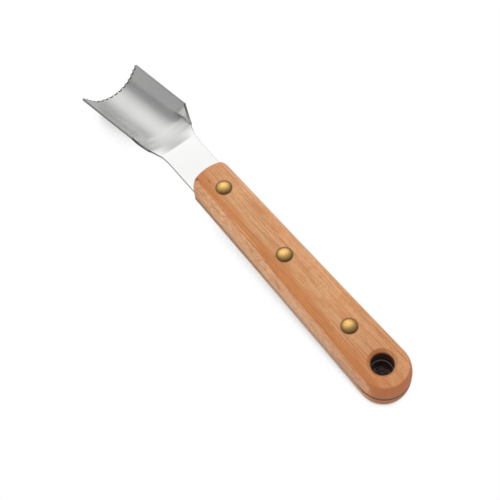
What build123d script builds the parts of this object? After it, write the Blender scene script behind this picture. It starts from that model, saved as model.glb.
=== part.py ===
from build123d import *
from math import asin, atan, atan2, cos, degrees, hypot, radians, sin, tan
import os

# Hand-held coconut grater: a toothed sheet-steel scoop with a full tang between two riveted wooden scales.
#
# The pieces are drawn with the handle level. X runs along the handle towards the butt and is zero at the
# middle rivet. Y is zero on the centre line, and Z is zero on the top face of the tang. At the end the whole
# tool is turned to lie as it does on a table, on its middle tooth and the edge of its butt.

# Sheet steel blade
sheet_thickness = 1.2
neck_width = 18.8
neck_straight_length = 16.1    # from the handle to where the edges start to flare
flare_length = 7.0             # from there to the bend
bend_width = 19.9
scoop_slope = 23.1             # degrees that the scoop's floor drops from the tang
shoulder_length = 16.0         # from the bend to the rear corners of the lips, measured level
lip_length = 47.0              # from the rear corners to the front edge, measured level
shoulder_width_growth = 1.25   # powers of the distance from the bend: above 1 starts slowly
shoulder_angle_growth = 1.35
shoulder_stations = 4
rear_lip_width = 30.8          # between the inner faces of the walls
front_lip_width = 32.6
rear_wall_angle = 51.0         # degrees from level
front_wall_angle = 55.5
straight_wall_width = 4.0      # level width of the straight wall beside each lip, the rest is an arc

# Teeth on the front edge
tooth_count = 13
tooth_pitch = 2.95             # along the inner face of the sheet
tooth_depth = 0.8
tooth_tip_width = 0.5

# Wooden scales
scale_thickness = 8.5
front_margin = 13.9            # from the front rivet to the front end
butt_margin = 35.5             # from the rear rivet to the butt
handle_front_width = 21.2
handle_butt_width = 24.6
front_bow_height = 3.0
front_corner_radius = 4.0
seam_wall_height = 0.8         # upright strip of the wood beside the tang
front_side_inset = 3.7         # how far the side leans in by the outer face
butt_side_inset = 1.5

# Hanging hole
hole_diameter = 10.0
hole_from_butt = 13.6
hole_countersink = 1.8

# Rivets: a sleeve from above and a post from below
rivet_names = ("front", "middle", "rear")
rivet_pitch = 45.0
rivet_head_diameter = 7.5
rivet_head_height = 1.5
rivet_body_diameter = 5.0
rivet_post_diameter = 3.0
rivet_body_clearance = 0.05    # radial, to the wood and the tang
rivet_post_clearance = 0.03    # radial, to the sleeve's bore, which grips the post on the real rivet
rivet_end_gap = 1.5            # from the end of the sleeve to the outer face of the lower scale
rivet_post_gap = 0.5           # from the end of the post to the end of its bore
rivet_roof = 1.5               # brass left over the bore, below the outer face of the upper scale

# Levels
sheet_top = 0.0
sheet_bottom = sheet_top - sheet_thickness
handle_top = sheet_top + scale_thickness
handle_bottom = sheet_bottom - scale_thickness

# Places along the handle
middle_number = (len(rivet_names) - 1) / 2
rivet_places = [(number - middle_number) * rivet_pitch for number in range(len(rivet_names))]
handle_front = rivet_places[0] - front_margin
handle_butt = rivet_places[-1] + butt_margin
butt_radius = handle_butt_width / 2
butt_centre = handle_butt - butt_radius
hole_centre = handle_butt - hole_from_butt
flare_start = handle_front - neck_straight_length
bend = flare_start - flare_length
lip_rear = bend - shoulder_length
scoop_front = lip_rear - lip_length
floor_drop_rate = tan(radians(scoop_slope))
scoop_wall_thickness = sheet_thickness / cos(radians(scoop_slope))    # in an upright section


def tangent_point():
    """Where the straight side that starts at the front end touches the round butt."""
    length = butt_centre - handle_front
    half_width = handle_front_width / 2
    lean = asin(butt_radius / hypot(length, half_width)) - atan(half_width / length)
    return butt_centre - butt_radius * sin(lean), butt_radius * cos(lean)


def handle_outline():
    """Plan of the handle: bowed front, straight sides that widen, round butt."""
    half_width = handle_front_width / 2
    side_x, side_y = tangent_point()
    corner_x = handle_front + front_bow_height
    edges = [
        ThreePointArc((corner_x, half_width), (handle_front, 0), (corner_x, -half_width)),
        Line((corner_x, -half_width), (side_x, -side_y)),
        ThreePointArc((side_x, -side_y), (handle_butt, 0), (side_x, side_y)),
        Line((side_x, side_y), (corner_x, half_width)),
    ]
    outline = make_face(Wire(edges))
    front_corners = outline.vertices().sort_by(Axis.X)[:2]
    return fillet(front_corners, front_corner_radius)


def side_profile(half_width, inset):
    """Corners of one side of a scale, from the seam up: foot, top of the upright strip, mid arc, top edge."""
    rise = scale_thickness - seam_wall_height
    turn = 2 * atan(inset / rise)
    radius = inset / (1 - cos(turn))
    foot = (half_width, 0)
    strip_top = (half_width, seam_wall_height)
    middle = (half_width - radius * (1 - cos(turn / 2)), seam_wall_height + radius * sin(turn / 2))
    top_edge = (half_width - inset, scale_thickness)
    return foot, strip_top, middle, top_edge


def scale_section(place, half_width, inset):
    """Cross section of the upper scale at one place along the handle."""
    right = side_profile(half_width, inset)
    left = [(-y, z) for y, z in right]
    foot, strip_top, middle, top_edge = [Vector(place, y, z) for y, z in right]
    left_foot, left_strip_top, left_middle, left_top_edge = [Vector(place, y, z) for y, z in left]
    edges = [
        Line(left_foot, foot),
        Line(foot, strip_top),
        ThreePointArc(strip_top, middle, top_edge),
        Line(top_edge, left_top_edge),
        ThreePointArc(left_top_edge, left_middle, left_strip_top),
        Line(left_strip_top, left_foot),
    ]
    return make_face(Wire(edges))


def round_butt():
    """Round end of the upper scale: the side profile turned about the butt's centre."""
    foot, strip_top, middle, top_edge = [Vector(y, 0, z) for y, z in side_profile(butt_radius, butt_side_inset)]
    edges = [
        Line(Vector(0, 0, 0), foot),
        Line(foot, strip_top),
        ThreePointArc(strip_top, middle, top_edge),
        Line(top_edge, Vector(0, 0, scale_thickness)),
        Line(Vector(0, 0, scale_thickness), Vector(0, 0, 0)),
    ]
    half_disc = revolve(make_face(Wire(edges)), Axis.Z, 180)
    return Pos(butt_centre, 0, 0) * Rot(0, 0, -90) * half_disc


def rivet_holes(radius, low, high):
    """Upright cylinders at the rivets' places."""
    return [Pos(place, 0, (low + high) / 2) * Cylinder(radius, high - low) for place in rivet_places]


def hanging_hole(low, high):
    """Upright cylinder for the hanging hole."""
    return Pos(hole_centre, 0, (low + high) / 2) * Cylinder(hole_diameter / 2, high - low)


def hole_funnel():
    """Countersink of the hanging hole at the outer face of the upper scale."""
    outer_radius = hole_diameter / 2 + hole_countersink
    funnel = Cone(hole_diameter / 2, outer_radius, hole_countersink)
    return Pos(hole_centre, 0, scale_thickness - hole_countersink / 2) * funnel


def upper_scale():
    """Upper wooden scale, resting on the tang's top face."""
    front = scale_section(handle_front, handle_front_width / 2, front_side_inset)
    rear = scale_section(butt_centre, butt_radius, butt_side_inset)
    body = loft([front, rear], ruled=True) + round_butt()
    body = body & extrude(handle_outline(), scale_thickness)
    body = body - hanging_hole(0, scale_thickness) - hole_funnel()
    body = body - rivet_holes(rivet_body_diameter / 2 + rivet_body_clearance, 0, scale_thickness)
    return Pos(0, 0, sheet_top) * body


def lower_scale(upper):
    """Lower wooden scale, the mirror image of the upper one in the middle plane of the sheet."""
    middle_plane = Plane.XY.offset(sheet_top - sheet_thickness / 2)
    return mirror(upper, about=middle_plane)


def neck_outline():
    """Plan of the flat neck from inside the handle to the bend, with the start of the flare."""
    inside = handle_front + front_margin / 2
    half_neck = neck_width / 2
    half_bend = bend_width / 2
    edges = [
        Line((inside, half_neck), (flare_start, half_neck)),
        TangentArc((flare_start, half_neck), (bend, half_bend), tangent=(-1, 0)),
        Line((bend, half_bend), (bend, -half_bend)),
        TangentArc((flare_start, -half_neck), (bend, -half_bend), tangent=(-1, 0)),
        Line((flare_start, -half_neck), (inside, -half_neck)),
        Line((inside, -half_neck), (inside, half_neck)),
    ]
    return make_face(Wire(edges))


def tang():
    """Flat part of the blade: full tang and neck, with the rivet holes and the hanging hole."""
    plan = handle_outline() + neck_outline()
    plate = Pos(0, 0, sheet_bottom) * extrude(plan, sheet_thickness)
    plate = plate - hanging_hole(sheet_bottom, sheet_top)
    return plate - rivet_holes(rivet_body_diameter / 2 + rivet_body_clearance, sheet_bottom, sheet_top)


def floor_level(place):
    """Height of the middle of the scoop's floor, which drops steadily from the bend."""
    return sheet_top - (bend - place) * floor_drop_rate


def trough_side(half_width, wall_angle, growth):
    """One side of the scoop from the middle out, grown outwards by a thickness: floor, end of the arc, lip."""
    angle = radians(wall_angle)
    curved_width = half_width - straight_wall_width
    if wall_angle == 0:
        joint = (curved_width, -growth)
        return (0, -growth), joint, (half_width, -growth)
    radius = curved_width / sin(angle)
    outer = radius + growth
    joint = (outer * sin(angle), radius - outer * cos(angle))
    lip = (joint[0] + straight_wall_width, joint[1] + straight_wall_width * tan(angle))
    return (0, -growth), joint, lip


def trough_section(place, half_width, wall_angle, thickness):
    """Upright cross section of the scoop's sheet: arc floor and straight walls."""
    def at(y, z):
        return Vector(place, y, z + floor_level(place))

    sides = {growth: trough_side(half_width, wall_angle, growth) for growth in (0, thickness)}
    edges = []
    for growth in (0, thickness):
        floor, joint, lip = sides[growth]
        for side in (1, -1):
            edges.append(Line(at(side * joint[0], joint[1]), at(side * lip[0], lip[1])))
        if wall_angle == 0:
            edges.append(Line(at(-joint[0], joint[1]), at(joint[0], joint[1])))
        else:
            edges.append(ThreePointArc(at(-joint[0], joint[1]), at(*floor), at(joint[0], joint[1])))
    for side in (1, -1):
        inner_lip = sides[0][-1]
        outer_lip = sides[thickness][-1]
        edges.append(Line(at(side * inner_lip[0], inner_lip[1]), at(side * outer_lip[0], outer_lip[1])))
    return make_face(Wire(edges))


def shoulder():
    """Sheet between the bend and the rear corners of the lips, where the walls rise."""
    sections = [trough_section(bend, bend_width / 2, 0, sheet_thickness)]
    for station in range(1, shoulder_stations + 1):
        share = station / shoulder_stations
        width = bend_width + (rear_lip_width - bend_width) * share**shoulder_width_growth
        angle = rear_wall_angle * share**shoulder_angle_growth
        place = bend - shoulder_length * share
        sections.append(trough_section(place, width / 2, angle, scoop_wall_thickness))
    return loft(sections)


def scoop():
    """Straight scoop from the rear corners of the lips to the front edge."""
    rear = trough_section(lip_rear, rear_lip_width / 2, rear_wall_angle, scoop_wall_thickness)
    front = trough_section(scoop_front, front_lip_width / 2, front_wall_angle, scoop_wall_thickness)
    return loft([rear, front], ruled=True)


def edge_point(distance):
    """Point of the front edge's inner face at a distance along it from the middle, and the slope there."""
    angle = radians(front_wall_angle)
    radius = (front_lip_width / 2 - straight_wall_width) / sin(angle)
    arc_angle = min(abs(distance) / radius, angle)
    beyond = abs(distance) - radius * arc_angle
    side = 1 if distance >= 0 else -1
    y = radius * sin(arc_angle) + beyond * cos(arc_angle)
    z = radius * (1 - cos(arc_angle)) + beyond * sin(arc_angle)
    return side * y, z + floor_level(scoop_front), side * arc_angle


def notches():
    """Round cutters between the teeth, square to the sheet in the plane of the front edge."""
    chord = tooth_pitch - tooth_tip_width
    radius = (chord**2 / 4 + tooth_depth**2) / (2 * tooth_depth)
    centre_x = scoop_front + tooth_depth - radius
    cutter_length = 3 * scoop_wall_thickness
    cutters = []
    for number in range(tooth_count + 1):
        y, z, slope = edge_point((number - tooth_count / 2) * tooth_pitch)
        cutters.append(Pos(centre_x, y, z) * Rot(degrees(slope), 0, 0) * Cylinder(radius, cutter_length))
    return cutters


def scraper_blade():
    """Whole blade: tang, neck, shoulder and toothed scoop in one sheet."""
    blade = tang() + shoulder() + scoop()
    return blade - notches()


def rivet_head(flat_level, upwards):
    """Domed head on a flat level."""
    radius = rivet_head_diameter / 2
    dome_radius = (radius**2 + rivet_head_height**2) / (2 * rivet_head_height)
    half_angle = asin(radius / dome_radius)
    rim = Vector(radius, 0, 0)
    crown = Vector(0, 0, rivet_head_height)
    halfway_drop = dome_radius * (1 - cos(half_angle / 2))
    halfway = Vector(dome_radius * sin(half_angle / 2), 0, rivet_head_height - halfway_drop)
    edges = [
        Line(Vector(0, 0, 0), rim),
        ThreePointArc(rim, halfway, crown),
        Line(crown, Vector(0, 0, 0)),
    ]
    head = revolve(make_face(Wire(edges)), Axis.Z, 360)
    if not upwards:
        head = Rot(180, 0, 0) * head
    return Pos(0, 0, flat_level) * head


def rivet_sleeve():
    """Upper half of a rivet: head and hollow body."""
    low = handle_bottom + rivet_end_gap
    body = Pos(0, 0, (low + handle_top) / 2) * Cylinder(rivet_body_diameter / 2, handle_top - low)
    bore_top = handle_top - rivet_roof
    bore_radius = rivet_post_diameter / 2 + rivet_post_clearance
    bore = Pos(0, 0, (low + bore_top) / 2) * Cylinder(bore_radius, bore_top - low)
    return body + rivet_head(handle_top, True) - bore


def rivet_post():
    """Lower half of a rivet: head and solid post, pressed into the sleeve."""
    high = handle_top - rivet_roof - rivet_post_gap
    post = Pos(0, 0, (handle_bottom + high) / 2) * Cylinder(rivet_post_diameter / 2, high - handle_bottom)
    return post + rivet_head(handle_bottom, False)


def lying(pieces):
    """All pieces turned and moved to lie on a level table, with the origin under the middle of their box."""
    tooth_place = scoop_front
    tooth_level = floor_level(scoop_front) - scoop_wall_thickness
    butt_edge_place = handle_butt - butt_side_inset
    tilt = degrees(atan2(handle_bottom - tooth_level, butt_edge_place - tooth_place))
    turned = {name: Rot(0, tilt, 0) * piece for name, piece in pieces.items()}
    boxes = [piece.bounding_box() for piece in turned.values()]
    front_end = min(box.min.X for box in boxes)
    butt_end = max(box.max.X for box in boxes)
    table = min(box.min.Z for box in boxes)
    to_origin = Pos(-(front_end + butt_end) / 2, 0, -table)
    return {name: to_origin * piece for name, piece in turned.items()}


def all_pieces():
    """Every piece of the tool by name, with the handle level."""
    upper = upper_scale()
    pieces = {
        "scraper_blade": scraper_blade(),
        "top_handle_scale": upper,
        "bottom_handle_scale": lower_scale(upper),
    }
    for place, name in zip(rivet_places, rivet_names):
        pieces[name + "_rivet_sleeve"] = Pos(place, 0, 0) * rivet_sleeve()
        pieces[name + "_rivet_post"] = Pos(place, 0, 0) * rivet_post()
    return pieces


os.makedirs("parts", exist_ok=True)
for node, shape in lying(all_pieces()).items():
    export_step(shape, "parts/" + node + ".step")
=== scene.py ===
import math

import bmesh
import bpy
import numpy as np
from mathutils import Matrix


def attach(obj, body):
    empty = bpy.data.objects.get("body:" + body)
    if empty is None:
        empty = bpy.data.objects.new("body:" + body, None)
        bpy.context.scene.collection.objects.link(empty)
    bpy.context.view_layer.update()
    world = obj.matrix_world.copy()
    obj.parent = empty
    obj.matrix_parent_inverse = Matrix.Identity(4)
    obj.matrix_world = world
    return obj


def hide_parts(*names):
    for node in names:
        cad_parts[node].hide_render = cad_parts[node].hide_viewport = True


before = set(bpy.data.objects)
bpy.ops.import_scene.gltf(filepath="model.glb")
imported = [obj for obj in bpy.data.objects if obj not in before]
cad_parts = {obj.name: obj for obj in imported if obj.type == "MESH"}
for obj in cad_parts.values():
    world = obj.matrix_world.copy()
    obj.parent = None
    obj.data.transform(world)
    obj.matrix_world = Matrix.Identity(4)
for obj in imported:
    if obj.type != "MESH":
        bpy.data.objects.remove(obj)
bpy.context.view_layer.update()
print("frame loaded")

# Every shape is worked out in millimetres with the handle level, as the tool is drawn: x towards the butt from
# the middle rivet, y across, z up from the tang's top face. layDown then turns it to lie on the table.
lying = {"tilt": 4.7153, "forward": 33.2314, "lift": 16.1613}    # degrees and millimetres

# What several pieces and their finishes share
shared = {
    "sheet": 1.2,            # thickness of the steel
    "rivetPitch": 45.0,
    "holePlace": 66.9,       # of the hanging hole, along the handle
    "holeDiameter": 10.0,
}


def tilted(points):
    # Turns about y by the tilt: x * cos + z * sin, y, and z * cos - x * sin
    tilt = math.radians(lying["tilt"])
    x, y, z = points[..., 0], points[..., 1], points[..., 2]
    return np.stack([x * math.cos(tilt) + z * math.sin(tilt), y, z * math.cos(tilt) - x * math.sin(tilt)], axis=-1)


def layDown(points):
    # Tilts, moves onto the table and changes millimetres to metres
    return (tilted(points) + np.array([lying["forward"], 0.0, lying["lift"]])) / 1000


def quads(rows, columns, closedRows=False, closedColumns=False):
    # Corner numbers of the quads of a grid of rows by columns, wrapped round where it is closed
    i = np.arange(rows if closedRows else rows - 1)[:, None]
    j = np.arange(columns if closedColumns else columns - 1)[None, :]
    nextI, nextJ = (i + 1) % rows, (j + 1) % columns
    corners = [i * columns + j, i * columns + nextJ, nextI * columns + nextJ, nextI * columns + j]
    return np.stack(corners, axis=-1).reshape(-1, 4)


def addPiece(name, points, faces, nodes, material, creaseAngle=35, cutEdgeAndShade=None):
    # One mesh piece on the table that stands for the named nodes. The last argument says how far each point is
    # darkened, as a cut edge and by painted shade, on the scale given further down.
    mesh = bpy.data.meshes.new(name)
    mesh.from_pydata(layDown(points.reshape(-1, 3)).tolist(), [], faces)
    mesh.validate()
    mesh.polygons.foreach_set("use_smooth", [True] * len(mesh.polygons))
    mesh.set_sharp_from_angle(angle=math.radians(creaseAngle))
    if cutEdgeAndShade is not None:
        mesh.attributes.new("cutEdgeAndShade", "FLOAT", "POINT").data.foreach_set("value", cutEdgeAndShade.ravel())
    mesh.materials.append(material)
    piece = bpy.data.objects.new(name, mesh)
    bpy.context.scene.collection.objects.link(piece)
    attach(piece, "root")
    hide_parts(*nodes)
    return piece


def newMaterial(name):
    # An empty material and its node tree
    material = bpy.data.materials.new(name)
    material.use_nodes = True
    material.node_tree.nodes.clear()
    return material, material.node_tree


def addNode(tree, kind, inputs=None, **settings):
    # A node with its settings. Each input is a fixed value or the output of another node.
    node = tree.nodes.new(kind)
    for key, value in settings.items():
        setattr(node, key, value)
    for key, value in (inputs or {}).items():
        if isinstance(value, bpy.types.NodeSocket):
            tree.links.new(value, node.inputs[key])
        else:
            node.inputs[key].default_value = value
    return node


def levelCoordinates(tree):
    # Millimetres on the level tool, as it is drawn, worked back from the object's own coordinates
    tilt = math.radians(lying["tilt"])
    x, z = lying["forward"], lying["lift"]
    back = (z * math.sin(tilt) - x * math.cos(tilt), 0, -x * math.sin(tilt) - z * math.cos(tilt))
    place = addNode(tree, "ShaderNodeTexCoord").outputs["Object"]
    inputs = {0: place, "Location": back, "Rotation": (0, -tilt, 0), "Scale": (1000, 1000, 1000)}
    return addNode(tree, "ShaderNodeMapping", inputs).outputs[0]


noiseLow, noiseHigh = 0.3, 0.7       # most of a noise lies between these


def noise(tree, level, scale=1.0, stretch=None, offset=(0, 0, 0), detail=3.0, roughness=0.5, distortion=0.0):
    # Noise about 0.5, of a scale in waves per millimetre, or of a stretch that gives them along x, y and z
    if stretch:
        level = addNode(tree, "ShaderNodeMapping", {0: level, "Location": offset, "Scale": stretch}).outputs[0]
    inputs = {"Vector": level, "Scale": scale, "Detail": detail, "Roughness": roughness, "Distortion": distortion}
    return addNode(tree, "ShaderNodeTexNoise", inputs).outputs[0]


def ramp(tree, factor, stops):
    # Colours at their places along a factor
    node = addNode(tree, "ShaderNodeValToRGB", {0: factor})
    elements = node.color_ramp.elements
    while len(elements) < len(stops):
        elements.new(0.5)
    for element, (place, colour) in zip(elements, stops):
        element.position = place
        element.color = (*colour, 1)
    return node.outputs[0]


def fade(tree, factor, low, high, start=0.0, end=1.0):
    # A value that runs from start to end as the factor runs from low to high
    return addNode(tree, "ShaderNodeMapRange", {0: factor, 1: low, 2: high, 3: start, 4: end}).outputs[0]


def blendColours(tree, factor, first, second):
    # Goes from the first colour to the second as the factor runs from 0 to 1
    first, second = ((*colour, 1) if isinstance(colour, tuple) else colour for colour in (first, second))
    return addNode(tree, "ShaderNodeMix", {0: factor, 6: first, 7: second}, data_type="RGBA").outputs[2]


def blendValues(tree, factor, first, second):
    # The same for two numbers
    return addNode(tree, "ShaderNodeMix", {0: factor, 2: first, 3: second}, data_type="FLOAT").outputs[0]


def blendShaders(tree, factor, first, second):
    # The same for two shaders
    return addNode(tree, "ShaderNodeMixShader", {0: factor, 1: first.outputs[0], 2: second.outputs[0]})


def calculate(tree, operation, first, second=0.0):
    # One step of arithmetic
    return addNode(tree, "ShaderNodeMath", {0: first, 1: second}, operation=operation).outputs[0]


def towards(tree, vector, direction):
    # How far a vector goes in a direction, which is their dot product
    inputs = {0: vector, 1: tuple(direction)}
    return addNode(tree, "ShaderNodeVectorMath", inputs, operation="DOT_PRODUCT").outputs["Value"]


def flatDistance(tree, x, y):
    # Length of a step of x and y, seen from above
    flat = addNode(tree, "ShaderNodeCombineXYZ", {0: x, 1: y}).outputs[0]
    return addNode(tree, "ShaderNodeVectorMath", {0: flat}, operation="LENGTH").outputs["Value"]


def rivetDistance(tree, x, y):
    # Distance from the nearest rivet's axis, seen from above: x is folded at each half pitch, as the rivets repeat
    return flatDistance(tree, calculate(tree, "PINGPONG", x, shared["rivetPitch"] / 2), y)


def addSurface(tree, height, bump, inputs):
    # The shader of a finish, with a bump of some strength and depth in metres that follows a height
    strength, depth = bump
    normal = addNode(tree, "ShaderNodeBump", {"Strength": strength, "Distance": depth, "Height": height}).outputs[0]
    shader = addNode(tree, "ShaderNodeBsdfPrincipled", {**inputs, "Normal": normal})
    addNode(tree, "ShaderNodeOutputMaterial", {0: shader.outputs[0]})


# How far a point of the steel is darkened, 0 to 1: a cut edge, partly painted shade, then painted shade beyond
edgeAndShadeMark = {
    "cut": 0.5,              # a plain cut edge, its darker grey partly painted shade
    "toothFace": 0.6,
    "notch": 0.95,           # painted shade on the rim of a notch
    # painted shade inside the hanging hole
    "shadedHole": 1.0,
}

# In the finishes, a fade gives where its factor starts and ends, then its value at each, or 0 and 1
steelLook = {
    "colour": (0.62, 0.62, 0.615),
    "smudgeShade": 0.94,                    # share of the colour that is left in a smudge
    # cut edges, darker partly as painted shade along the lips, the teeth and the tang's edge
    "edgeAndShadeColour": (0.40, 0.395, 0.375),
    "holeShadeColour": (0.03, 0.015, 0.010),     # painted shade: inside the hanging hole, on the notches' rims and round the tang's butt
    "roughness": 0.21,
    "roughnessChange": 0.05,
    "edgeRoughness": 0.42,
    "metalFade": (0.8, 1.0, 1.0, 0.0),      # the painted shade is no metal
    "lines": {"stretch": (0.12, 5.0, 5.0), "detail": 4.0, "roughness": 0.6},
    "smudges": {"scale": 0.08, "roughness": 0.6},
    "bump": (0.06, 0.0002),                 # of the brushed lines
}


def makeSteel():
    # Brushed along the blade, with faint smudges. Cut edges are darker and rougher, the darker grey partly painted
    # shade, and from there the colour goes to a nearly black painted shade.
    look = steelLook
    material, tree = newMaterial("stainlessSteel")
    level = levelCoordinates(tree)
    lines = noise(tree, level, **look["lines"])
    smudges = noise(tree, level, **look["smudges"])
    edge = addNode(tree, "ShaderNodeAttribute", attribute_name="cutEdgeAndShade").outputs["Fac"]
    mean = calculate(tree, "MULTIPLY", calculate(tree, "ADD", lines, smudges), 0.5)
    smooth, rough = look["roughness"] - look["roughnessChange"], look["roughness"] + look["roughnessChange"]
    roughness = fade(tree, mean, noiseLow, noiseHigh, smooth, rough)
    roughness = fade(tree, edge, 0.0, edgeAndShadeMark["cut"], roughness, look["edgeRoughness"])
    smudged = tuple(look["smudgeShade"] * c for c in look["colour"])
    tint = ramp(tree, smudges, [(noiseLow, smudged), (noiseHigh, look["colour"])])
    # The darker cut edges are partly painted shade, and the nearly black colour after them is painted shade
    tint = blendColours(tree, fade(tree, edge, 0.0, edgeAndShadeMark["cut"]), tint, look["edgeAndShadeColour"])
    tint = blendColours(tree, fade(tree, edge, edgeAndShadeMark["cut"], edgeAndShadeMark["shadedHole"]), tint, look["holeShadeColour"])
    metal = fade(tree, edge, *look["metalFade"])
    addSurface(tree, lines, look["bump"], {"Base Color": tint, "Metallic": metal, "Roughness": roughness})
    return material


beechLook = {
    # paler sides, partly the wood's own tone and partly painted light where the sides get less light
    "side": (0.80, 0.455, 0.245),
    "heart": (0.56, 0.215, 0.062),          # the orange band beside the near edge
    "middle": (0.655, 0.355, 0.172),
    "far": (0.70, 0.365, 0.17),
    "streak": (0.36, 0.13, 0.045),
    "fleck": (0.45, 0.13, 0.05),
    # end grain, and painted shade on faces turned along the handle
    "endGrainAndShade": (0.46, 0.145, 0.047),
    "mark": (0.10, 0.04, 0.02),
    # painted shade round the rivets' heads and along the joint with the tang
    "seamShade": (0.16, 0.07, 0.035),
    "bore": (0.06, 0.020, 0.012),           # painted shade on the wall of the hanging hole
    "roughness": 0.48,
    "boreRoughness": 0.95,
    "specular": 0.3,
    "bump": (0.2, 0.0001),
    # The rings' colours across the flat top, from 0 to 1 over ringReach of its half widths each way
    "rings": ((0.0, "side"), (0.16, "side"), (0.19, "heart"), (0.30, "heart"),
              (0.42, "middle"), (0.52, "middle"), (0.66, "far"), (1.0, "far")),
    "ringReach": 1.6,
    "topHalfWidth": 8.7,                    # at the middle rivet
    "topWidening": 0.0307,                  # of that half width per millimetre towards the butt
    "wander": {"stretch": (0.02, 0.10, 0.10), "detail": 2.0},
    "bands": {"stretch": (0.010, 0.55, 0.55), "roughness": 0.6, "distortion": 0.3},
    "fine": {"stretch": (0.06, 1.45, 1.45), "detail": 4.0, "roughness": 0.65},
    "patches": {"stretch": (0.05, 0.16, 0.16), "offset": (11, 3, 5), "roughness": 0.6},
    "flecks": {"stretch": (0.6, 2.6, 2.6), "offset": (40, 7, 3), "detail": 1.5},
    "mottle": {"scale": 0.35, "detail": 2.0},
    "wanderFade": (0.25, 0.75, -0.10, 0.22),    # to how far the rings move, in half widths
    "bandFade": (noiseLow, noiseHigh, -0.18, 0.18),
    "sideFade": (0.99, 1.06),                   # half widths from the middle
    "streakFade": (0.52, 0.36, 0.0, 0.58),
    "patchFade": (0.50, 0.62, 0.0, 0.45),
    "fleckFade": (0.56, 0.62),
    "fleckDepth": (0.4, 0.75),                  # on the top and on the sides
    "mottleFade": (0.35, 0.65, 0.12, 0.0),
    "endGrainAndShadeFade": (0.25, 0.75, 0.0, 0.9),     # how squarely a face looks along the handle, which is darkened partly as painted shade
    "endFade": (40, 60, 0.0, 0.3),              # distance from the middle rivet
    "marks": ((-52.0, -3.1, 1.4, 0.3), (-56.6, -6.8, 0.9, 0.7)),     # x, y and half sizes of dark marks
    "markFade": (1.2, 0.4, 0.0, 0.75),          # distance in half sizes
    "markHeight": (4, 5),                       # above this only, on the top
    "rivetShadeFade": (4.2, 3.8, 0.0, 0.85),         # distance from a rivet's axis, for the painted shade round its head
    "seamShadeFade": (1.05, 0.8, 0.0, 0.9),          # distance from the middle of the tang, for the painted shade along the joint
    "boreFade": (5.6, 5.05),                    # distance from the hole's axis
}


def makeBeech():
    # Rings run along the handle: pale sides, partly painted light, an orange band beside the near edge, paler towards
    # the far side.
    # Layers of colour then go over them in turn, some of them painted shade, the hole's nearly black wall of painted
    # shade last.
    look = beechLook
    material, tree = newMaterial("beech")
    level = levelCoordinates(tree)
    x, y, z = addNode(tree, "ShaderNodeSeparateXYZ", {0: level}).outputs
    wander, bands, fine, patches, flecks, mottle = (
        noise(tree, level, **look[name]) for name in ("wander", "bands", "fine", "patches", "flecks", "mottle"))
    # Place across the flat top, -1 at its near edge and 1 at its far edge
    halfWidth = calculate(tree, "ADD", calculate(tree, "MULTIPLY", x, look["topWidening"]), look["topHalfWidth"])
    across = calculate(tree, "DIVIDE", y, halfWidth)
    moved = calculate(tree, "ADD", across, fade(tree, wander, *look["wanderFade"]))
    moved = calculate(tree, "ADD", moved, fade(tree, bands, *look["bandFade"]))
    ringPlace = fade(tree, moved, -look["ringReach"], look["ringReach"])
    wood = ramp(tree, ringPlace, [(place, look[colour]) for place, colour in look["rings"]])
    # The near and far sides are pale whatever the rings do, partly as painted light, and patches are on the top alone
    beside = fade(tree, calculate(tree, "ABSOLUTE", across), *look["sideFade"])
    onTop = calculate(tree, "SUBTRACT", 1.0, beside)
    fleckDepth = fade(tree, beside, 0.0, 1.0, *look["fleckDepth"])
    # Faces that look along the handle are cut across the grain and get darker, partly as painted shade, and both of
    # its ends are a little redder
    normal = addNode(tree, "ShaderNodeNewGeometry").outputs["Normal"]
    facing = towards(tree, normal, tilted(np.array([1.0, 0.0, 0.0])))
    facing = calculate(tree, "MULTIPLY", facing, calculate(tree, "SIGN", x))
    layers = [
        (beside, "side"),
        (fade(tree, fine, *look["streakFade"]), "streak"),
        (calculate(tree, "MULTIPLY", fade(tree, patches, *look["patchFade"]), onTop), "heart"),
        (calculate(tree, "MULTIPLY", fade(tree, flecks, *look["fleckFade"]), fleckDepth), "fleck"),
        (fade(tree, mottle, *look["mottleFade"]), "streak"),
        (fade(tree, facing, *look["endGrainAndShadeFade"]), "endGrainAndShade"),
        (fade(tree, calculate(tree, "ABSOLUTE", x), *look["endFade"]), "endGrainAndShade"),
    ]
    upperHalf = fade(tree, z, *look["markHeight"])
    for markX, markY, halfLength, halfBreadth in look["marks"]:
        alongMark = calculate(tree, "DIVIDE", calculate(tree, "SUBTRACT", x, markX), halfLength)
        acrossMark = calculate(tree, "DIVIDE", calculate(tree, "SUBTRACT", y, markY), halfBreadth)
        nearMark = fade(tree, flatDistance(tree, alongMark, acrossMark), *look["markFade"])
        layers.append((calculate(tree, "MULTIPLY", nearMark, upperHalf), "mark"))
    # Painted shade: dark rings round the rivets, a dark line along the seam with the tang, and the hole's dark wall
    fromTang = calculate(tree, "ABSOLUTE", calculate(tree, "ADD", z, shared["sheet"] / 2))
    fromHole = flatDistance(tree, calculate(tree, "SUBTRACT", x, shared["holePlace"]), y)
    layers += [
        (fade(tree, rivetDistance(tree, x, y), *look["rivetShadeFade"]), "seamShade"),
        (fade(tree, fromTang, *look["seamShadeFade"]), "seamShade"),
        (fade(tree, fromHole, *look["boreFade"]), "bore"),
    ]
    for strength, colour in layers:
        wood = blendColours(tree, strength, wood, look[colour])
    roughness = fade(tree, fromHole, *look["boreFade"], look["roughness"], look["boreRoughness"])
    addSurface(tree, fine, look["bump"],
               {"Base Color": wood, "Roughness": roughness, "Specular IOR Level": look["specular"]})
    return material


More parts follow.
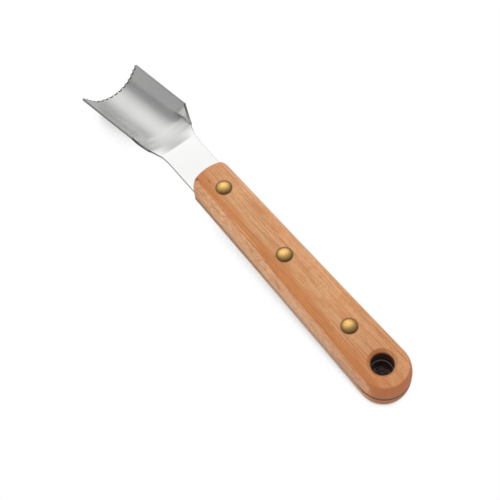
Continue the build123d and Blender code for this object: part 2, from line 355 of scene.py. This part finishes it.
brassLook = {
    "tints": ((0.35, (0.60, 0.36, 0.12)), (0.6, (0.72, 0.455, 0.16))),    # dull and bright, by the patina's noise
    # painted shade round the rim of each head, where it meets the wood
    "rim": (0.20, 0.10, 0.03),
    "rimShadeFade": (2.55, 3.65, 0.0, 0.6),          # distance from the rivet's axis, for the painted shade at the rim
    "patina": {"scale": 0.6, "detail": 4.0, "roughness": 0.6},
    "roughnessFade": (noiseLow, noiseHigh, 0.36, 0.26),
    "bump": (0.05, 0.0001),
}


def makeBrass():
    # Patchy, with painted shade darkest round the rim of each head
    look = brassLook
    material, tree = newMaterial("tarnishedBrass")
    level = levelCoordinates(tree)
    x, y, _ = addNode(tree, "ShaderNodeSeparateXYZ", {0: level}).outputs
    patina = noise(tree, level, **look["patina"])
    tint = ramp(tree, patina, look["tints"])
    tint = blendColours(tree, fade(tree, rivetDistance(tree, x, y), *look["rimShadeFade"]), tint, look["rim"])
    roughness = fade(tree, patina, *look["roughnessFade"])
    addSurface(tree, patina, look["bump"], {"Base Color": tint, "Metallic": 1.0, "Roughness": roughness})
    return material


steel = makeSteel()
beech = makeBeech()
brass = makeBrass()
print("materials made")

# The handle's plan is shared by the scales and the tang
handle = {
    "front": -58.9,
    "butt": 80.5,
    "frontWidth": 21.2,
    "buttWidth": 24.6,
    "bowHeight": 3.0,
    "cornerRadius": 4.0,
    "thickness": 8.5,        # of one scale
    "stripHeight": 0.8,      # upright strip beside the tang
    "frontInset": 3.7,       # how far the side leans in by the outer face
    "buttInset": 1.5,
    "countersink": 1.8,
    "topSoftness": 0.7,      # softening of the outer edge
    "seamSoftness": 0.25,
    "holeSoftness": 0.35,
    "bowPoints": 18,         # of half the plan
    "cornerPoints": 20,
    "sidePoints": 44,
    "buttPoints": 48,
    "sideSpacing": 0.8,      # below 1, the side's points come closer together towards the butt
}


def between(start, end, share):
    # Value or point at a share of the way from start to end
    return start + (end - start) * share


def handlePlan():
    # Points of the plan in order round it, with outward normals: bow arc, corner arc, straight side and round
    # butt for the far half, then the same mirrored. Each arc is centre + radius * (cos, sin) of evenly spaced angles.
    buttRadius = handle["buttWidth"] / 2
    buttCentre = handle["butt"] - buttRadius
    halfWidth = handle["frontWidth"] / 2
    length = buttCentre - handle["front"]
    lean = math.asin(buttRadius / math.hypot(length, halfWidth)) - math.atan(halfWidth / length)
    sideEnd = np.array([buttCentre - buttRadius * math.sin(lean), buttRadius * math.cos(lean)])
    sideStart = np.array([handle["front"] + handle["bowHeight"], halfWidth])
    along = (sideEnd - sideStart) / np.linalg.norm(sideEnd - sideStart)
    outward = np.array([-along[1], along[0]])
    bowRadius = (halfWidth**2 + handle["bowHeight"] ** 2) / (2 * handle["bowHeight"])
    bowCentre = np.array([handle["front"] + bowRadius, 0.0])
    # The corner's centre is one corner radius inside both the bow and the side
    offsetStart = sideStart - outward * handle["cornerRadius"] - bowCentre
    reach = bowRadius - handle["cornerRadius"]
    middle = offsetStart @ along
    step = -middle - math.sqrt(middle**2 - offsetStart @ offsetStart + reach**2)
    cornerCentre = bowCentre + offsetStart + along * step
    bowEnd = math.atan2(*(cornerCentre - bowCentre)[::-1])
    sideAngle = math.atan2(outward[1], outward[0])

    def arc(centre, radius, start, end, count):
        angles = np.linspace(start, end, count)
        normals = np.stack([np.cos(angles), np.sin(angles)], axis=-1)
        return centre + radius * normals, normals

    bow, bowNormals = arc(bowCentre, bowRadius, math.pi, bowEnd, handle["bowPoints"])
    corner, cornerNormals = arc(cornerCentre, handle["cornerRadius"], bowEnd, sideAngle, handle["cornerPoints"])
    butt, buttNormals = arc(np.array([buttCentre, 0.0]), buttRadius, sideAngle, 0.0, handle["buttPoints"])
    shares = np.linspace(0, 1, handle["sidePoints"] + 2)[1:-1, None] ** handle["sideSpacing"]
    side = between(corner[-1], butt[0], shares)
    sideNormals = np.repeat(outward[None, :], len(side), axis=0)
    half = np.concatenate([bow, corner[1:], side, butt])
    halfNormals = np.concatenate([bowNormals, cornerNormals[1:], sideNormals, buttNormals])
    onButt = np.arange(len(half)) >= len(half) - len(butt)
    mirror = np.array([1.0, -1.0])
    plan = np.concatenate([half, half[-2:0:-1] * mirror])
    normals = np.concatenate([halfNormals, halfNormals[-2:0:-1] * mirror])
    return plan, normals, np.concatenate([onButt, onButt[-2:0:-1]]), buttCentre


def sideLean(inset, height):
    # How far a side has leaned in at a height: an arc that starts upright at the strip and ends at the inset
    rise = handle["thickness"] - handle["stripHeight"]
    turn = 2 * np.arctan(inset / rise)
    radius = inset / (1 - np.cos(turn))
    above = np.clip(height - handle["stripHeight"], 0, rise)
    return radius - np.sqrt(np.maximum(radius**2 - above**2, 0))


def planAtHeight(plan, normals, onButt, buttCentre, height, softening):
    # The plan at one height: sides narrowed by their lean, the butt narrowed all round, then softened inwards
    share = np.clip((plan[:, 0] - handle["front"]) / (buttCentre - handle["front"]), 0, 1)
    halfWidth = between(handle["frontWidth"], handle["buttWidth"], share) / 2
    inset = between(handle["frontInset"], handle["buttInset"], share)
    limit = halfWidth - sideLean(inset, height)
    sides = np.stack([plan[:, 0], np.sign(plan[:, 1]) * np.minimum(np.abs(plan[:, 1]), limit)], axis=-1)
    butt = plan - normals * sideLean(np.array(handle["buttInset"]), height)
    return np.where(onButt[:, None], butt, sides) - normals * softening


def scalePoints():
    # Rows of points round the hanging hole: each column runs from the hole's foot up its wall and countersink,
    # out over the flat top to the plan's edge, down the side and back under to the hole
    plan, normals, onButt, buttCentre = handlePlan()
    top, mouth, bevel = handle["thickness"], handle["countersink"], handle["holeSoftness"]
    soft, low = handle["topSoftness"], handle["seamSoftness"]
    centre = np.array([shared["holePlace"], 0.0])
    holeRadius = shared["holeDiameter"] / 2
    edge = planAtHeight(plan, normals, onButt, buttCentre, top, soft)
    direction = (edge - centre) / np.linalg.norm(edge - centre, axis=1, keepdims=True)
    rows = []

    def addRow(flat, height):
        rows.append(np.concatenate([flat, np.full((len(plan), 1), height)], axis=1))

    # Steps outwards from the hole's wall and down from the top: the wall, the countersink and its softened ends
    for out, down in (
        (0.0, top), (0.0, 0.6 * top), (0.0, mouth + bevel), (0.12 * bevel, mouth + 0.3 * bevel),
        (0.5 * bevel, mouth - 0.5 * bevel), (mouth / 2, mouth / 2), (mouth - 0.7 * bevel, 0.7 * bevel),
        (mouth - 0.1 * bevel, 0.22 * bevel), (mouth + 0.4 * bevel, 0.04 * bevel), (mouth + 1.1 * bevel, 0.0),
    ):
        addRow(centre + direction * (holeRadius + out), top - down)
    start = rows[-1][:, :2]
    for share in (0.1, 0.3, 0.6, 0.9, 0.985):        # over the flat top
        addRow(between(start, edge, share), top)
    for turn in np.radians(np.linspace(0, 90, 7)):   # softened outer edge, a quarter round
        height = top - soft + soft * math.cos(turn)
        addRow(planAtHeight(plan, normals, onButt, buttCentre, height, soft - soft * math.sin(turn)), height)
    for height in np.linspace(top - soft, low, 16)[1:]:
        addRow(planAtHeight(plan, normals, onButt, buttCentre, height, 0.0), height)
    for turn in np.radians((30, 60, 90)):            # softened edge beside the tang
        softening = low - low * math.cos(turn)
        addRow(planAtHeight(plan, normals, onButt, buttCentre, 0.0, softening), low - low * math.sin(turn))
    inner, foot = rows[-1][:, :2], rows[0][:, :2]
    for share in (0.1, 0.5, 0.9):                    # back under to the hole
        addRow(between(inner, foot, share), 0.0)
    return np.array(rows)


sheet = shared["sheet"]
upper = scalePoints()
faces = quads(*upper.shape[:2], closedRows=True, closedColumns=True)
addPiece("topScale", upper, faces[:, ::-1].tolist(), ["top_handle_scale"], beech)
lower = upper * np.array([1.0, 1.0, -1.0]) - np.array([0.0, 0.0, sheet])
addPiece("bottomScale", lower, faces.tolist(), ["bottom_handle_scale"], beech)
print("scales made")

blade = {
    "neckWidth": 18.8,
    "neckStraight": 16.1,
    "flare": 7.0,
    "bendWidth": 19.9,
    "bendSoftness": 0.8,
    "slope": 23.1,           # degrees, from the bend to the teeth
    "quickDrop": 1.2,        # extra fall of the floor just after the bend
    "quickLength": 5.5,
    "quickInside": 0.85,     # share of that fall that the lips don't have
    "cornerAngle": 59.0,     # of the wall beside the shoulder's sides
    "cornerRadius": 3.5,     # of the turn between the arc and that wall
    "cornerTurn": 0.6,       # most of that wall's width that the turn may take
    "cornerFade": (0.85, 1.2),       # shares of the shoulder between which that angle turns into the lips'
    "wallStart": 0.40,       # share of the shoulder where the wall begins
    "shoulder": 16.0,
    "lips": 47.0,
    "widthGrowth": 1.25,
    "angleGrowth": 1.35,
    "leastAngle": 0.2,       # of the flat neck, whose arc can't be quite straight
    "rearWidth": 30.8,
    "frontWidth": 32.6,
    "rearAngle": 51.0,
    "frontAngle": 55.5,
    "wall": 4.0,             # level width of the straight wall beside each lip
    "teeth": 13,
    "toothPitch": 2.95,
    "toothDepth": 0.8,
    "toothTip": 0.5,
    "pitchSteps": 20,        # points to each tooth
    "tipStep": 0.01,         # how far the edge of the ground faces lies ahead of them
    "tipInset": 0.04,        # and in from the sheet's faces
    "notchFade": (0.15, 0.5),        # shares of a tooth's depth over which the painted shade on a notch's rim appears
    "notchShadeReach": 1.5,        # how far the painted shade of each notch reaches on the inner face
    "lipSoftness": 0.3,
    "insideHandle": 6.0,     # how far the neck's sheet runs in between the scales
}
flareStart = handle["front"] - blade["neckStraight"]
bend = flareStart - blade["flare"]
lipRear = bend - blade["shoulder"]
scoopFront = lipRear - blade["lips"]


def bladeWidthAndAngle(place):
    # Half width between the walls and the walls' angle at places along the blade: a straight neck, an arc out to
    # the bend's width, then a shoulder that grows as a power of its share, then straight lips
    shoulderShare = np.clip((bend - place) / blade["shoulder"], 0, 1)
    lipShare = np.clip((lipRear - place) / blade["lips"], -1, 1)
    halfNeck, halfBend = blade["neckWidth"] / 2, blade["bendWidth"] / 2
    flareRadius = (blade["flare"] ** 2 + (halfBend - halfNeck) ** 2) / (2 * (halfBend - halfNeck))
    fromStart = np.clip(flareStart - place, 0, blade["flare"])
    neck = halfNeck + flareRadius - np.sqrt(flareRadius**2 - fromStart**2)
    shoulder = between(blade["bendWidth"], blade["rearWidth"], shoulderShare ** blade["widthGrowth"]) / 2
    lips = between(blade["rearWidth"], blade["frontWidth"], lipShare) / 2
    halfWidth = np.where(place > bend, neck, np.where(place > lipRear, shoulder, lips))
    shoulderAngle = blade["rearAngle"] * shoulderShare ** blade["angleGrowth"]
    lipAngle = between(blade["rearAngle"], blade["frontAngle"], lipShare)
    angle = np.where(place > lipRear, shoulderAngle, lipAngle)
    return halfWidth, np.radians(np.maximum(angle, blade["leastAngle"]))


def smoothStep(low, high, value):
    # 0 below low, 1 above high, and a smooth cubic between
    share = np.clip((value - low) / (high - low), 0, 1)
    return share**2 * (3 - 2 * share)


def bladeSurface(place, across):
    # Point of the scoop's inner face: at a place along it, go out from the middle by a share of the section's
    # length, first round an arc, then up a straight wall. Along the lips the wall carries on at the arc's end
    # angle. Beside the shoulder it narrows to nothing at a steeper angle, with a tight turn at its foot, and the
    # arc is shallower, so that the lip's height stays (arc width) * tan(angle / 2) + (wall width) * tan(angle).
    # The floor falls steadily from the softened bend, with an extra fall in its middle that comes quickly and is
    # gone again at the teeth.
    halfWidth, angle = bladeWidthAndAngle(place)
    share = (bend - place) / blade["shoulder"]
    lipRise = (halfWidth - blade["wall"]) * np.tan(angle / 2) + blade["wall"] * np.tan(angle)
    wall = blade["wall"] * np.clip((share - blade["wallStart"]) / (1 - blade["wallStart"]), 0, 1)
    steepness = 1 - smoothStep(*blade["cornerFade"], share)
    wallAngle = between(angle, math.radians(blade["cornerAngle"]), steepness)

    def arcEnd(turnRise):
        # Angle at which the arc has to end, when the turn at the wall's foot adds a rise of its own
        return 2 * np.arctan((lipRise - wall * np.tan(wallAngle) - turnRise) / (halfWidth - wall))

    inner = arcEnd(0.0)
    for _ in range(4):       # the turn and the arc depend on each other, and settle in a few rounds
        spread = np.sin(wallAngle) - np.sin(inner)
        turn = np.minimum(blade["cornerRadius"], blade["cornerTurn"] * wall / np.maximum(spread, 1e-6))
        inner = arcEnd(turn * (np.cos(inner) - np.cos(wallAngle) - spread * np.tan(wallAngle)))
    spread = np.sin(wallAngle) - np.sin(inner)
    radius = (halfWidth - wall) / np.sin(inner)
    arcLength = radius * inner
    turnLength = turn * (wallAngle - inner)
    wallLength = (wall - turn * spread) / np.cos(wallAngle)
    distance = np.abs(across) * (arcLength + turnLength + wallLength)
    inArc = np.minimum(distance / radius, inner)
    inTurn = inner + np.clip(distance - arcLength, 0, turnLength) / np.maximum(turn, 1e-6)
    onWall = np.maximum(distance - arcLength - turnLength, 0)
    y = radius * np.sin(inArc) + turn * (np.sin(inTurn) - np.sin(inner)) + onWall * np.cos(wallAngle)
    rise = radius * (1 - np.cos(inArc)) + turn * (np.cos(inner) - np.cos(inTurn)) + onWall * np.sin(wallAngle)
    fromBend = bend - place
    fallen = (fromBend + np.sqrt(fromBend**2 + blade["bendSoftness"] ** 2)) / 2
    quick = 1 - np.exp(-fallen / blade["quickLength"]) - fallen / (blade["shoulder"] + blade["lips"])
    extra = blade["quickDrop"] * quick * (1 - blade["quickInside"] * across**2)
    fall = fallen * math.tan(math.radians(blade["slope"])) + extra
    return np.stack([place + 0 * y, np.sign(across) * y, rise - fall], axis=-1)


def frontSectionHalfLength():
    # Length of the front edge from its middle to a lip: the arc's radius * angle, and the wall's width / cos(angle)
    angle = math.radians(blade["frontAngle"])
    radius = (blade["frontWidth"] / 2 - blade["wall"]) / math.sin(angle)
    return radius * angle + blade["wall"] / math.cos(angle)


def toothCut(distance):
    # Depth cut back from the front edge at a distance along it: round notches between flat-tipped teeth
    pitch, depth, teeth = blade["toothPitch"], blade["toothDepth"], blade["teeth"]
    chord = pitch - blade["toothTip"]
    radius = (chord**2 / 4 + depth**2) / (2 * depth)
    shift = 0.0 if teeth % 2 else 0.5        # an odd number has a tooth in the middle, an even one a notch
    fromNotch = np.abs((distance / pitch + shift) % 1.0 - 0.5) * pitch
    cut = depth - radius + np.sqrt(np.maximum(radius**2 - fromNotch**2, 0))
    cut = np.where(fromNotch < chord / 2, np.maximum(cut, 0), 0)
    return np.where(np.abs(distance) < (teeth + 1) / 2 * pitch + chord / 2, cut, 0)


def bladePoints():
    # A closed loop of points at each station: inner face from lip to lip, round the far lip's edge, back along
    # the outer face, round the near lip's edge. The first stations follow the teeth. Also gives how far each
    # point is darkened, as a cut edge and by painted shade, and the number of points from lip to lip.
    halfLength = frontSectionHalfLength()
    step = blade["toothPitch"] / blade["pitchSteps"]
    soft = blade["lipSoftness"]
    lastStep = int((halfLength - 2 * soft) / step)
    distances = np.concatenate([[soft - halfLength], np.arange(-lastStep, lastStep + 1) * step, [halfLength - soft]])
    across = (distances / halfLength)[None, :]
    count = len(distances)
    # Stations lie close together by the teeth, the rear of the lips and the bend
    fromFront = np.concatenate([
        [0, 0.2, 0.4, 0.6, 0.8, 1.0, 1.2, 1.8], np.arange(3.0, blade["lips"] - 1.5, 3.0),
        [blade["lips"] - 1.2, blade["lips"] - 0.5]])
    rest = np.concatenate([
        lipRear + np.array([0.0, 0.4, 1.0]), np.linspace(lipRear + 1.5, bend - 1.6, 24),
        bend + np.linspace(-1.4, 1.4, 15), np.linspace(bend + 2.2, flareStart, 7),
        [flareStart + 5, handle["front"], handle["front"] + blade["insideHandle"]]])
    cut = toothCut(distances)[None, :]
    scoop = scoopFront + cut + fromFront[:, None] * (1 - cut / blade["lips"])
    inner = bladeSurface(np.concatenate([scoop, rest[:, None] + 0 * across]), across)
    normal = np.cross(np.gradient(inner, axis=0), np.gradient(inner, axis=1))
    normal *= np.sign(normal[..., 2:3]) / np.linalg.norm(normal, axis=-1, keepdims=True)
    outer = inner - normal * sheet
    near = 0.29 * soft       # from both faces to the middle of a small quarter round
    corners = ((near, near), (0.0, soft), (0.0, sheet - soft), (near, sheet - near))

    def lipEdge(column, neighbour):
        # Points round one lip's edge, from the inner face to the outer
        outward = inner[:, column] - inner[:, neighbour]
        outward /= np.linalg.norm(outward, axis=-1, keepdims=True)
        return [inner[:, column] + outward * (soft - back) - normal[:, column] * depth for back, depth in corners]

    farEdge = np.stack(lipEdge(-1, -2), axis=1)
    nearEdge = np.stack(lipEdge(0, 1)[::-1], axis=1)
    loops = np.concatenate([inner, farEdge, outer[:, ::-1], nearEdge], axis=1)
    edgeAndShade = np.zeros(loops.shape[:2])
    edgeAndShade[:, count:count + 4] = edgeAndShadeMark["cut"]
    edgeAndShade[:, -4:] = edgeAndShadeMark["cut"]
    # Painted shade on the notches' rims, on the inner face just behind the teeth
    inNotch = smoothStep(*blade["notchFade"], cut / blade["toothDepth"])
    inRim = 1 - smoothStep(0.5, 1.0, fromFront[:, None] / blade["notchShadeReach"])
    edgeAndShade[:len(fromFront), :count] = edgeAndShadeMark["notch"] * inNotch * inRim
    # The first loop lies just ahead of the next and closes in a little, which gives the ground faces their own edge
    tip = loops[0] - np.array([blade["tipStep"], 0, 0])
    inwards = outer[0] - inner[0]
    inwards *= blade["tipInset"] / np.linalg.norm(inwards, axis=-1, keepdims=True)
    tip[:count] += inwards
    tip[count + 4:2 * count + 4] -= inwards[::-1]
    tipEdge = np.full((1, loops.shape[1]), edgeAndShadeMark["toothFace"])
    return np.concatenate([tip[None], loops]), np.concatenate([tipEdge, edgeAndShade]), count


def capFaces(start, innerCount, flip):
    # The cut end of the sheet: quads between the inner and outer faces, and one face at each lip
    loop = 2 * innerCount + 8
    i = np.arange(innerCount - 1)
    partner = 2 * innerCount + 3 - i
    strips = np.stack([i, i + 1, partner - 1, partner], axis=-1)
    farLip = np.arange(innerCount - 1, innerCount + 5)
    nearLip = np.concatenate([np.arange(2 * innerCount + 3, loop), [0]])
    faces = (strips + start).tolist() + [(farLip + start).tolist(), (nearLip + start).tolist()]
    return [face[::-1] for face in faces] if flip else faces


points, edgeAndShade, innerCount = bladePoints()
stations, loopCount = points.shape[:2]
faces = quads(stations, loopCount, closedColumns=True)[:, ::-1].tolist()
faces += capFaces(0, innerCount, False) + capFaces((stations - 1) * loopCount, innerCount, True)
addPiece("scoopAndNeck", points, faces, ["scraper_blade"], steel, creaseAngle=40, cutEdgeAndShade=edgeAndShade)

tang = {
    "inset": 0.02,                       # from the handle's plan
    "softness": 0.15,
    "edgeShadePlaces": (-5, 15, 62, 68),      # along the handle, and how much painted shade the edge has there
    "edgeShadeLevels": (0.6, 0.0, 0.0, 0.85),
}


def tangPoints():
    # A plate round the hanging hole: each column runs from the hole out to the handle's plan and back below
    plan, normals, _, _ = handlePlan()
    plan = plan - normals * tang["inset"]
    centre = np.array([shared["holePlace"], 0.0])
    direction = (plan - centre) / np.linalg.norm(plan - centre, axis=1, keepdims=True)
    hole = centre + direction * shared["holeDiameter"] / 2
    middle = between(hole, plan, 0.5)
    soft = tang["softness"]
    near = 0.3 * soft        # from both faces to the middle of the softened edge
    rows = []
    for flat, height in (
        (hole, -sheet), (hole, 0.0), (middle, 0.0), (plan - normals * soft, 0.0), (plan - normals * near, -near),
        (plan, -soft), (plan, soft - sheet), (plan - normals * near, near - sheet), (plan - normals * soft, -sheet),
        (middle, -sheet),
    ):
        rows.append(np.concatenate([flat, np.full((len(plan), 1), height)], axis=1))
    # The plate's edge has painted shade towards the front of the handle and round the butt, and the hole's wall is
    # painted black as shade
    shadedEdge = np.interp(plan[:, 0], tang["edgeShadePlaces"], tang["edgeShadeLevels"])
    edgeAndShade = np.repeat(shadedEdge[None, :], len(rows), axis=0)
    edgeAndShade[:2] = edgeAndShadeMark["shadedHole"]
    return np.array(rows), edgeAndShade


points, edgeAndShade = tangPoints()
faces = quads(*points.shape[:2], closedRows=True, closedColumns=True)[:, ::-1].tolist()
addPiece("tang", points, faces, ["scraper_blade"], steel, cutEdgeAndShade=edgeAndShade)
print("blade made")

rivet = {
    "headDiameter": 7.5,
    "headHeight": 1.5,
    "bodyDiameter": 5.0,
    "postDiameter": 3.0,
    "boreDiameter": 3.06,
    "endGap": 1.5,           # from the sleeve's foot to the handle's underside
    "postGap": 0.5,          # above the post's top
    "roof": 1.5,             # of the sleeve, below its head
    "rimSoftness": 0.12,
    "headPoints": 16,
    "sides": 64,
}


def headProfile(flat):
    # Radius and height of the head from its crown to its rim, above the flat: a shallow arc with a softened rim
    radius, height, soft = rivet["headDiameter"] / 2, rivet["headHeight"], rivet["rimSoftness"]
    domeRadius = (radius**2 + height**2) / (2 * height)
    angles = np.linspace(0, math.asin((radius - soft) / domeRadius), rivet["headPoints"])
    arc = np.stack([domeRadius * np.sin(angles), flat + height - domeRadius * (1 - np.cos(angles))], axis=-1)
    rim = np.array([[radius - 0.3 * soft, flat + 0.4 * soft], [radius - 0.1 * soft, flat]])
    return np.concatenate([arc, rim])


def turned(profile, place, flip):
    # A profile of radii and heights carried round an upright axis at a place along the handle
    angles = np.linspace(0, 2 * math.pi, rivet["sides"], endpoint=False)[None, :]
    radius, height = profile[:, :1], profile[:, 1:]
    grid = np.stack([place + radius * np.cos(angles), radius * np.sin(angles), height + 0 * angles], axis=-1)
    ring = quads(len(profile), rivet["sides"], closedColumns=True)
    return grid, (ring[:, ::-1] if flip else ring).tolist()


def mergePoles(piece):
    # Rings of no radius become one point each
    work = bmesh.new()
    work.from_mesh(piece.data)
    bmesh.ops.remove_doubles(work, verts=work.verts, dist=1e-7)
    work.to_mesh(piece.data)
    work.free()


handleTop = handle["thickness"]
handleBottom = -sheet - handle["thickness"]
sleeveFoot = handleBottom + rivet["endGap"]
boreTop = handleTop - rivet["roof"]
postTop = boreTop - rivet["postGap"]
body, post, bore = rivet["bodyDiameter"] / 2, rivet["postDiameter"] / 2, rivet["boreDiameter"] / 2
sleeveShaft = [[body, handleTop], [body, sleeveFoot], [bore, sleeveFoot], [bore, boreTop], [0, boreTop]]
sleeveProfile = np.concatenate([headProfile(handleTop), sleeveShaft])
postHead = headProfile(0) * np.array([1, -1]) + np.array([0, handleBottom])
postProfile = np.concatenate([postHead, [[post, handleBottom], [post, postTop], [0, postTop]]])
for number, word in enumerate(("front", "middle", "rear")):
    place = (number - 1) * shared["rivetPitch"]
    for half, profile, flip in (("Sleeve", sleeveProfile, True), ("Post", postProfile, False)):
        grid, faces = turned(profile, place, flip)
        node = word + "_rivet_" + half.lower()
        mergePoles(addPiece(word + "Rivet" + half, grid, faces, [node], brass))
print("rivets made")

view = {
    "azimuth": 57.256,
    "elevation": 61.834,
    "roll": -5.621,
    "distance": 543.062,
    "target": (-11.609, -10.567, 8.5),
    "focal": 1211.551,                 # pixels, for a picture this wide
    "picture": 500,
    "sensor": 36,
}


def addCamera():
    # Looks at the target from a distance along an azimuth and elevation, rolled about its line of sight
    azimuth, elevation, roll = (math.radians(view[key]) for key in ("azimuth", "elevation", "roll"))
    outwards = math.cos(elevation)
    back = np.array([math.sin(azimuth) * outwards, -math.cos(azimuth) * outwards, math.sin(elevation)])
    right = np.array([math.cos(azimuth), math.sin(azimuth), 0.0])
    up = np.cross(back, right)
    rolledRight = math.cos(roll) * right + math.sin(roll) * up
    rolledUp = -math.sin(roll) * right + math.cos(roll) * up
    data = bpy.data.cameras.new("camera")
    data.sensor_width = view["sensor"]
    data.lens = view["focal"] / view["picture"] * view["sensor"]
    data.clip_start = 0.01
    camera = bpy.data.objects.new("camera", data)
    bpy.context.scene.collection.objects.link(camera)
    columns = np.eye(4)                # right, up, back and place, as Blender takes a matrix from a list
    columns[:3, :3] = tilted(np.stack([rolledRight, rolledUp, back]))
    columns[3, :3] = layDown(np.array(view["target"]) + view["distance"] * back)
    camera.matrix_world = columns.tolist()
    bpy.context.scene.camera = camera


white = (1, 1, 1, 1)
studio = {
    "lightSide": (-0.6, 0.3, 0.75),    # where the room is brightest
    # Its light in reflections, from -1 away from that side to 1 towards it
    "glossyLight": ((-1.0, 0.10), (-0.07, 0.14), (0.3, 0.31), (0.6, 0.50),
                    (0.77, 0.98), (0.88, 1.28), (0.93, 1.5), (1.0, 1.65)),
    "diffuseLow": 0.76,                # room light from the dim side and from the bright side
    "diffuseHigh": 1.06,
    "tableSize": 3.0,
    "tableColour": (0.85, 0.85, 0.85, 1),        # as it lights the tool
    "shadeColour": (0.11, 0.046, 0.038, 1),      # where the tool is near
    "contactReach": 0.022,             # how near the tool the table darkens
    "contactFade": (0.15, 0.5),        # openness to the room where the shade is full and where it is gone
    "contactRays": 8,
    "shineSide": (-0.58, 0.81, 0),     # where the table is brightest in reflections
    "shineFade": (0.05, 0.4, 0.55, 1.0),         # metres towards that side, and how bright it is there
    "keyPower": 1.4,
    "keySize": 0.8,
    "keyPlace": (-0.45, 0.45, 0.75),
}


def lightPath(tree):
    # Whether a ray comes from the camera, and whether it is a reflection or has passed through glass
    path = addNode(tree, "ShaderNodeLightPath").outputs
    return path["Is Camera Ray"], calculate(tree, "MAXIMUM", path["Is Glossy Ray"], path["Is Transmission Ray"])


def addTable():
    # White to the camera and dark where the tool is near. In reflections it fades to one side, and as light on
    # the tool it is pale.
    half = studio["tableSize"] / 2
    mesh = bpy.data.meshes.new("table")
    mesh.from_pydata([(-half, -half, 0), (half, -half, 0), (half, half, 0), (-half, half, 0)], [], [(0, 1, 2, 3)])
    table = bpy.data.objects.new("table", mesh)
    bpy.context.scene.collection.objects.link(table)
    material, tree = newMaterial("whiteTable")
    fromCamera, reflected = lightPath(tree)
    pale = addNode(tree, "ShaderNodeBsdfDiffuse", {"Color": studio["tableColour"]})
    shaded = addNode(tree, "ShaderNodeBsdfDiffuse", {"Color": studio["shadeColour"]})
    glow = addNode(tree, "ShaderNodeEmission", {"Color": white, "Strength": 1.0})
    nearness = addNode(tree, "ShaderNodeAmbientOcclusion", {"Distance": studio["contactReach"]},
                       samples=studio["contactRays"])
    openness = fade(tree, nearness.outputs["AO"], *studio["contactFade"])
    place = addNode(tree, "ShaderNodeTexCoord").outputs["Object"]
    brightness = fade(tree, towards(tree, place, studio["shineSide"]), *studio["shineFade"])
    shine = addNode(tree, "ShaderNodeEmission", {"Color": white, "Strength": brightness})
    seen = blendShaders(tree, openness, shaded, glow)
    chosen = blendShaders(tree, reflected, blendShaders(tree, fromCamera, pale, seen), shine)
    addNode(tree, "ShaderNodeOutputMaterial", {0: chosen.outputs[0]})
    mesh.materials.append(material)


def addWorld():
    # White to the camera. In reflections and as light it fades from the bright side of the room to the dim one.
    world = bpy.data.worlds.new("studio")
    bpy.context.scene.world = world
    world.use_nodes = True
    tree = world.node_tree
    tree.nodes.clear()
    fromCamera, reflected = lightPath(tree)
    side = np.array(studio["lightSide"]) / np.linalg.norm(studio["lightSide"])
    nearSide = towards(tree, addNode(tree, "ShaderNodeTexCoord").outputs["Generated"], side)
    stops = [((place + 1) / 2, (value, value, value)) for place, value in studio["glossyLight"]]
    glossy = ramp(tree, fade(tree, nearSide, -1, 1), stops)
    diffuse = fade(tree, nearSide, -1, 1, studio["diffuseLow"], studio["diffuseHigh"])
    strength = blendValues(tree, fromCamera, blendValues(tree, reflected, diffuse, glossy), 1.0)
    background = addNode(tree, "ShaderNodeBackground", {"Color": white, "Strength": strength})
    addNode(tree, "ShaderNodeOutputWorld", {0: background.outputs[0]})


def addKeyLight():
    # A square lamp that faces the middle of the tool and isn't seen in reflections
    data = bpy.data.lights.new("softbox", "AREA")
    data.energy = studio["keyPower"]
    data.shape = "SQUARE"
    data.size = studio["keySize"]
    light = bpy.data.objects.new("softbox", data)
    bpy.context.scene.collection.objects.link(light)
    light.location = studio["keyPlace"]
    light.rotation_euler = (-light.location).to_track_quat("-Z", "Y").to_euler()
    light.visible_glossy = False


addCamera()
addTable()
addWorld()
addKeyLight()
bpy.context.scene.view_settings.view_transform = "Standard"
print("studio made")
